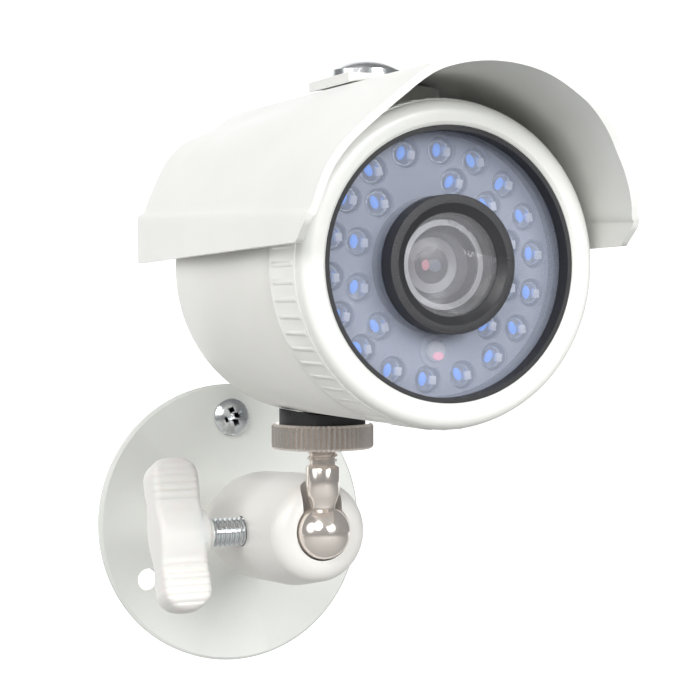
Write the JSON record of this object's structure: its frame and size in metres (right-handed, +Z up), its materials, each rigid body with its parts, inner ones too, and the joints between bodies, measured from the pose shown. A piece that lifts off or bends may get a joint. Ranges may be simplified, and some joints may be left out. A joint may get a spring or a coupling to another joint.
{
  "type": "bullet security camera",
  "caption": "Bullet security camera with an infrared light ring, a sliding sun shield and a ball-joint wall bracket with a wing-knob clamp.",
  "frame": {"origin": "middle of the wall plate's back face, on the wall", "axes": "+Y into the wall along the plate axis, +Z up, the camera looks along -Y"},
  "size_m": [0.0632, 0.1293, 0.1206],
  "materials": {
    "white_paint": "satin powder coat",
    "white_plastic": "moulded, satin",
    "nickel": "bright nickel plate",
    "zinc": "zinc plate",
    "brass": "turned",
    "black_rubber": "matte",
    "black_plastic": "matte",
    "black_metal": "black anodised",
    "grey_plate": "satin grey",
    "circuit_board": "solder mask",
    "clear_glass": "polished",
    "lens_glass": "coated",
    "led_resin": "clear resin",
    "sensor_resin": "clear resin"
  },
  "bodies": {
    "bracket": {"wall_plate": "white_paint", "arm_rivet": "zinc", "wall_screw": "zinc", "bracket_arm": "white_paint", "clamp_nut": "zinc"},
    "stud": {"ball_stud": "nickel"},
    "camera": {"barrel": "white_paint", "mount_insert": "brass", "shield_rail": "white_paint", "front_cap": "white_paint", "window_seal": "black_rubber", "window": "clear_glass", "light_baffle": "black_rubber", "face_plate": "grey_plate", "light_frame": "black_plastic", "led_board": "circuit_board", "outer_leds": "led_resin", "inner_leds": "led_resin", "light_sensor": "sensor_resin", "lens_shroud": "black_rubber", "lens_cover": "clear_glass", "lens_ring": "nickel", "front_element": "lens_glass", "lens_barrel": "black_metal", "lens_holder": "black_plastic", "image_sensor": "black_plastic", "sensor_board": "circuit_board", "front_spacers": "brass", "board_spacers": "brass", "power_board": "circuit_board", "rear_cover": "white_paint", "rear_seal": "black_rubber", "rear_screws": "zinc", "cable_gland": "black_rubber", "slot_plate": "white_paint", "shield_screw": "zinc"},
    "shield": {"sun_shield": "white_paint"},
    "lock_washer": {"lock_washer": "black_rubber"},
    "lock_nut": {"lock_nut": "nickel"},
    "clamp_screw": {"clamp_screw": "zinc"},
    "wing_knob": {"wing_knob": "white_plastic"}
  },
  "joints": [
    {"name": "tilt", "type": "hinge", "parent": "bracket", "child": "stud", "pos_m": [0, -0.052, 0], "axis": [1, 0, 0], "range_deg": [-4, 86]},
    {"name": "pan", "type": "hinge", "parent": "stud", "child": "camera", "pos_m": [0, -0.05409, 0.02993], "axis": [0, -0.0698, 0.9976], "range_deg": [-90, 90]},
    {"name": "shield_slide", "type": "slide", "parent": "camera", "child": "shield", "axis": [0, -0.9976, -0.0698], "range_m": [-0.006, 0.006]},
    {"name": "nut_travel", "type": "slide", "parent": "camera", "child": "lock_washer", "axis": [0, 0.0698, -0.9976], "range_m": [0, 0.00254]},
    {"name": "nut_turn", "type": "hinge", "parent": "lock_washer", "child": "lock_nut", "pos_m": [0, -0.05339, 0.01995], "axis": [0, -0.0698, 0.9976], "range_deg": [0, 720]},
    {"name": "clamp_travel", "type": "slide", "parent": "bracket", "child": "clamp_screw", "axis": [-1, 0, 0], "range_m": [0, 0.002]},
    {"name": "knob_turn", "type": "hinge", "parent": "clamp_screw", "child": "wing_knob", "pos_m": [-0.024, -0.036, 0], "axis": [-1, 0, 0], "range_deg": [0, 720]}
  ],
  "couplings": [
    {"joint": "nut_turn", "follows": "nut_travel", "rad_per_m": 4947.4},
    {"joint": "knob_turn", "follows": "clamp_travel", "rad_per_m": 6283.2}
  ]
}
